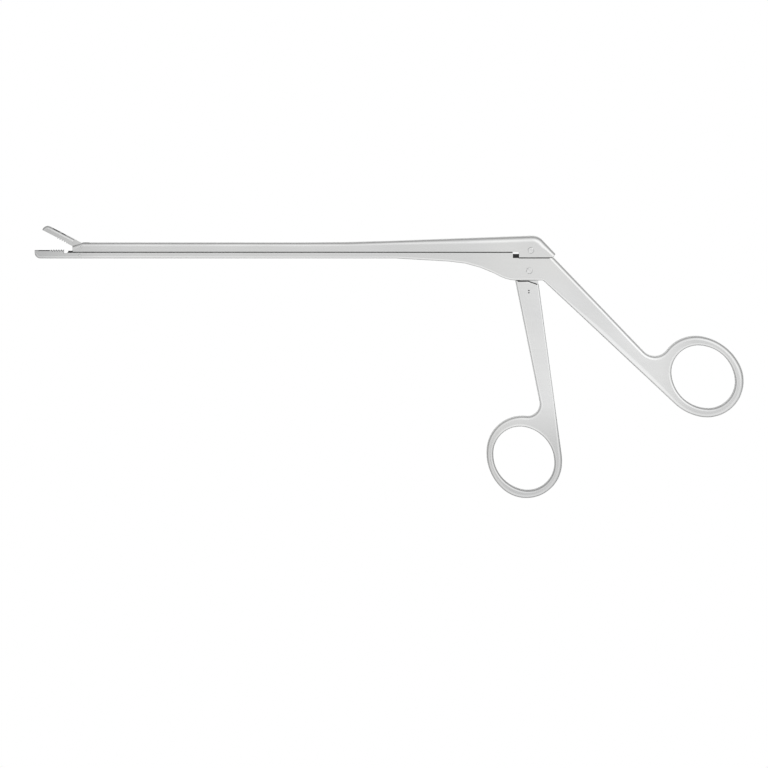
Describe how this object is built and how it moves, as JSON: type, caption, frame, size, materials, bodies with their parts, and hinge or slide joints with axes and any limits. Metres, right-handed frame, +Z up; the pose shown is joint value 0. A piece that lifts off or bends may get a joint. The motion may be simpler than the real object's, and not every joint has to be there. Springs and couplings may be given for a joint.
{
  "type": "bone rongeur",
  "caption": "Ring-handled bone rongeur with a sliding shaft and straight cupped, toothed jaws, lying on its side.",
  "frame": {"origin": "on the side face that the instrument lies on, at the axis of the handle pivot pin", "axes": "+X from the jaws towards the rear handle along the shaft, +Y from the shaft's underside to its back, +Z up through the instrument's thickness, along the handle pivot"},
  "size_m": [0.2659, 0.1022, 0.006],
  "materials": {
    "satin_steel": "satin",
    "polished_steel": "polished"
  },
  "bodies": {
    "fixed_shaft": {"lower_shaft": "satin_steel", "handle_pivot_pin": "polished_steel", "jaw_pivot_pin": "polished_steel"},
    "slide": {"sliding_shaft": "satin_steel", "slide_drive_pin": "polished_steel", "jaw_drive_pin": "polished_steel"},
    "jaw": {"upper_jaw": "satin_steel"},
    "handle": {"front_handle": "satin_steel"}
  },
  "joints": [
    {"name": "handle_squeeze", "type": "hinge", "parent": "fixed_shaft", "child": "handle", "pos_m": [0, 0, 0.003], "axis": [0, 0, 1], "range_deg": [0, 11.6]},
    {"name": "slide_travel", "type": "slide", "parent": "fixed_shaft", "child": "slide", "axis": [-1, 0, 0], "range_m": [0, 0.00155]},
    {"name": "jaw_close", "type": "hinge", "parent": "fixed_shaft", "child": "jaw", "pos_m": [-0.1686, 0.00575, 0.003], "axis": [0, 0, 1], "range_deg": [0, 27.5]}
  ],
  "couplings": [
    {"joint": "slide_travel", "follows": "handle_squeeze", "m_per_rad": 0.0076539},
    {"joint": "jaw_close", "follows": "handle_squeeze", "ratio": 2.3701}
  ]
}
